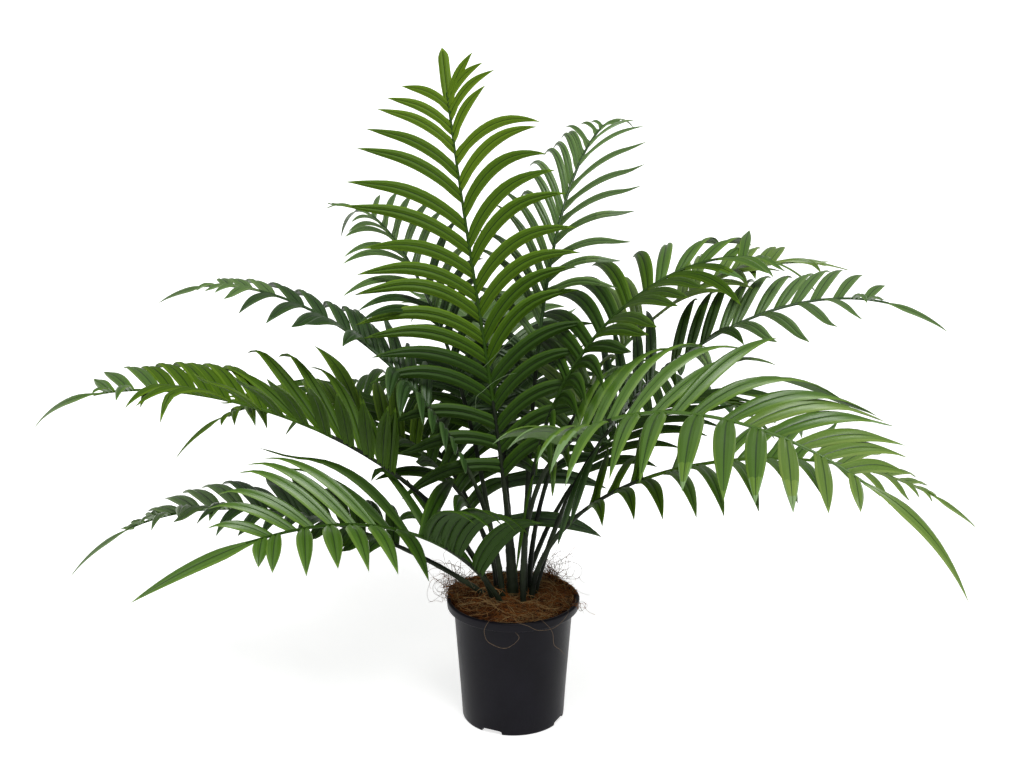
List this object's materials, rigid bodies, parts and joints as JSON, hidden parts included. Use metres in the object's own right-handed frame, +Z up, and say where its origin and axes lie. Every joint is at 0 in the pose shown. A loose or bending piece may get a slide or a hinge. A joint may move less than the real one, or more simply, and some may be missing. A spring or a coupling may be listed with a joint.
{
  "type": "artificial areca palm in a pot",
  "caption": "Artificial areca palm with arching feather fronds on thin dark stalks, set in coir in a plain black tapered nursery pot.",
  "frame": {"origin": "middle of the pot's flat underside, which stands on the floor or table", "axes": "+Z up; the side that is usually seen faces -Y; +X to the right of someone who looks at that side"},
  "size_m": [0.9882, 0.8493, 0.6955],
  "materials": {
    "pot_plastic": "satin",
    "coir_fibre": "matte",
    "stem_plastic": "satin",
    "leaf_bright": "satin",
    "leaf_dark": "satin",
    "leaf_dull": "satin"
  },
  "bodies": {
    "root": {"coir": "coir_fibre", "frond_back_high_inner": "leaf_dull", "frond_back_high_outer": "leaf_dull", "frond_back_left_low_inner": "leaf_dark", "frond_back_left_low_outer": "leaf_dark", "frond_back_low_inner": "leaf_dark", "frond_back_low_outer": "leaf_dark", "frond_back_right_low_inner": "leaf_dark", "frond_back_right_low_outer": "leaf_dark", "frond_front_left_inner": "leaf_bright", "frond_front_left_outer": "leaf_bright", "frond_front_right_inner": "leaf_bright", "frond_front_right_outer": "leaf_bright", "frond_left_high_inner": "leaf_dull", "frond_left_high_outer": "leaf_dull", "frond_left_inner_inner": "leaf_bright", "frond_left_inner_outer": "leaf_bright", "frond_left_long_inner": "leaf_bright", "frond_left_long_outer": "leaf_bright", "frond_left_low_inner": "leaf_dark", "frond_left_low_outer": "leaf_dark", "frond_right_back_inner": "leaf_bright", "frond_right_back_outer": "leaf_bright", "frond_right_high_inner": "leaf_dark", "frond_right_high_outer": "leaf_dark", "frond_right_long_inner": "leaf_dull", "frond_right_long_outer": "leaf_dull", "frond_right_low_inner": "leaf_dark", "frond_right_low_outer": "leaf_dark", "frond_tall_left_inner": "leaf_dull", "frond_tall_left_outer": "leaf_dull", "frond_tall_right_inner": "leaf_dull", "frond_tall_right_outer": "leaf_dull", "frond_top": "leaf_bright", "pot": "pot_plastic", "stalk_back_high": "stem_plastic", "stalk_back_left_low": "stem_plastic", "stalk_back_low": "stem_plastic", "stalk_back_right_low": "stem_plastic", "stalk_front_left": "stem_plastic", "stalk_front_right": "stem_plastic", "stalk_left_high": "stem_plastic", "stalk_left_inner": "stem_plastic", "stalk_left_long": "stem_plastic", "stalk_left_low": "stem_plastic", "stalk_right_back": "stem_plastic", "stalk_right_high": "stem_plastic", "stalk_right_long": "stem_plastic", "stalk_right_low": "stem_plastic", "stalk_tall_left": "stem_plastic", "stalk_tall_right": "stem_plastic", "stalk_top": "stem_plastic", "trunk": "stem_plastic"}
  },
  "joints": []
}
